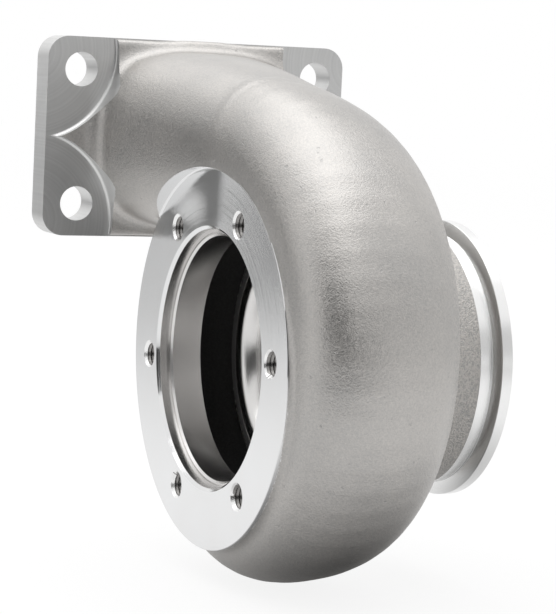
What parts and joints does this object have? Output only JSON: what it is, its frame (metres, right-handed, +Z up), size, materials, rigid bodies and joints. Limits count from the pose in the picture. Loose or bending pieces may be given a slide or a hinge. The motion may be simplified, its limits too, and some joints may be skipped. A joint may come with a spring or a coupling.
{
  "type": "turbine housing",
  "caption": "Cast turbine housing of a turbocharger: a scroll with a rectangular inlet flange, a bolted bearing face and a clamp rim at the outlet.",
  "frame": {"origin": "centre of the machined face that the bearing housing bolts to, on the turbine axis", "axes": "+X along the turbine axis towards the gas outlet, +Y the way the inlet flange faces, +Z up, from the turbine axis towards the inlet's middle"},
  "size_m": [0.1151, 0.154, 0.166],
  "materials": {
    "machined_steel": "machined bright, with fine turning and milling marks",
    "cast_steel": "investment cast and blasted, fine matt grain"
  },
  "bodies": {
    "root": {"bearing_flange": "machined_steel", "wheel_shroud": "machined_steel", "outlet_neck": "cast_steel", "outlet_flange": "machined_steel", "scroll_front": "cast_steel", "scroll_bottom": "cast_steel", "scroll_back": "cast_steel", "inlet_duct": "cast_steel", "duct_foot": "cast_steel", "inlet_flange": "machined_steel"}
  },
  "joints": []
}
